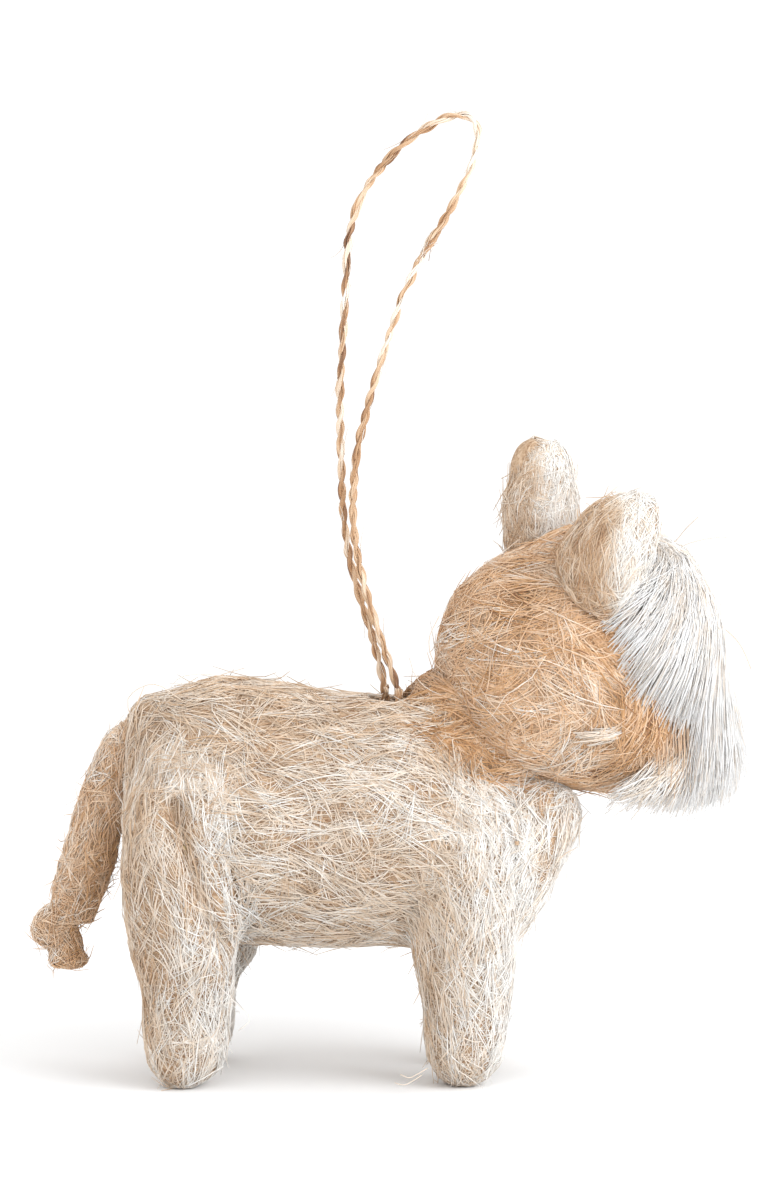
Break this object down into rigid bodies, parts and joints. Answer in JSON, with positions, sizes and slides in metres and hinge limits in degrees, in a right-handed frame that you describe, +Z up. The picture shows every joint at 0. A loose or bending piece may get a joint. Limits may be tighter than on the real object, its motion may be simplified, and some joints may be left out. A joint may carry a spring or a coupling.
{
  "type": "fibre yule goat ornament",
  "caption": "Hanging goat ornament: plant fibre matted over a wired straw core, with a bendable tail, forelock, beard and a twine loop.",
  "frame": {"origin": "on the surface that the feet stand on, under the middle of the ornament's own length and width (the twine loop left out)", "axes": "+X towards the head, +Y to the animal's left, +Z up"},
  "size_m": [0.1218, 0.0588, 0.164],
  "materials": {
    "body_fibre": "matted natural plant fibre, tan with pale strands",
    "head_fibre": "matted natural plant fibre, wound round the head",
    "ear_fibre": "pale plant fibre laid along the ear",
    "pale_hair": "bleached straight plant fibre, glossy",
    "tail_fibre": "short felted plant fibre",
    "straw_core": "pressed straw",
    "binding_thread": "wound thread",
    "bent_wire": "soft steel wire",
    "twine": "two-ply twisted twine"
  },
  "bodies": {
    "goat": {"body_core": "straw_core", "core_binding_front": "binding_thread", "core_binding_hind": "binding_thread", "body_coat": "body_fibre", "spine_wire": "bent_wire", "front_leg_wire": "bent_wire", "hind_leg_wire": "bent_wire", "right_front_leg_core": "straw_core", "left_front_leg_core": "straw_core", "right_hind_leg_core": "straw_core", "left_hind_leg_core": "straw_core", "right_front_leg_coat": "body_fibre", "left_front_leg_coat": "body_fibre", "right_hind_leg_coat": "body_fibre", "left_hind_leg_coat": "body_fibre", "neck_wrap": "body_fibre", "head_core": "straw_core", "head_coat": "head_fibre", "right_ear": "ear_fibre", "left_ear": "ear_fibre", "forelock": "pale_hair", "face_fringe": "pale_hair", "beard": "pale_hair", "mouth_lock": "pale_hair"},
    "hitch": {"hanger_hitch": "twine"},
    "loop": {"hanger_loop": "twine"},
    "tail": {"tail_wire": "bent_wire", "tail_core": "straw_core", "tail_coat": "tail_fibre", "tail_knot": "tail_fibre", "tail_tuft": "tail_fibre"}
  },
  "joints": [
    {"name": "hanger_roll", "type": "hinge", "parent": "goat", "child": "hitch", "pos_m": [0.00075, -0.0051, 0.0607], "axis": [1, 0, 0], "range_deg": [-20, 20], "stiffness_Nm_per_rad": 0.002},
    {"name": "hanger_swing", "type": "hinge", "parent": "hitch", "child": "loop", "pos_m": [0.00075, -0.0051, 0.0659], "axis": [0, 1, 0], "range_deg": [-45, 15], "stiffness_Nm_per_rad": 0.002},
    {"name": "tail_bend", "type": "hinge", "parent": "goat", "child": "tail", "pos_m": [-0.04425, -0.0051, 0.0595], "axis": [0, 1, 0], "range_deg": [-3, 25]}
  ]
}
